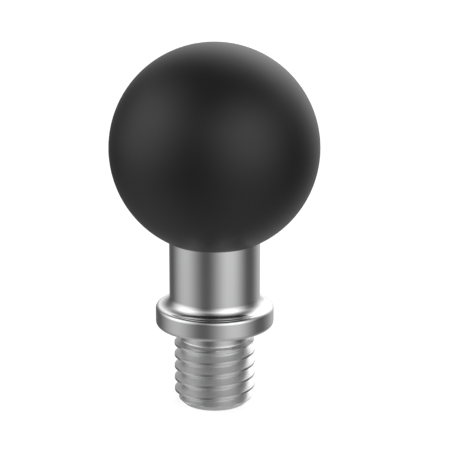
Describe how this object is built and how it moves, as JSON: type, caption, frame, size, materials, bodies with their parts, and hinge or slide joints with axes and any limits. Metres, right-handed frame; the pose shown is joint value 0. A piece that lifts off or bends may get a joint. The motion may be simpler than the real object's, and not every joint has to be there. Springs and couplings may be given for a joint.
{
  "type": "threaded ball base",
  "caption": "Rubber ball on a round metal stud, with a shouldered flange and a short screw shank that fixes it into a tapped hole.",
  "frame": {"origin": "centre of the flange's seat face, on the axis of the stud", "axes": "+Z along the axis of the stud, from the seat face up to the ball; the screw shank points to -Z"},
  "size_m": [0.0254, 0.0254, 0.0449],
  "materials": {
    "steel": "satin turned steel, plain, with fine turning marks",
    "rubber": "matte black moulded rubber"
  },
  "bodies": {
    "root": {"threaded_stud": "steel", "rubber_ball": "rubber"}
  },
  "joints": []
}
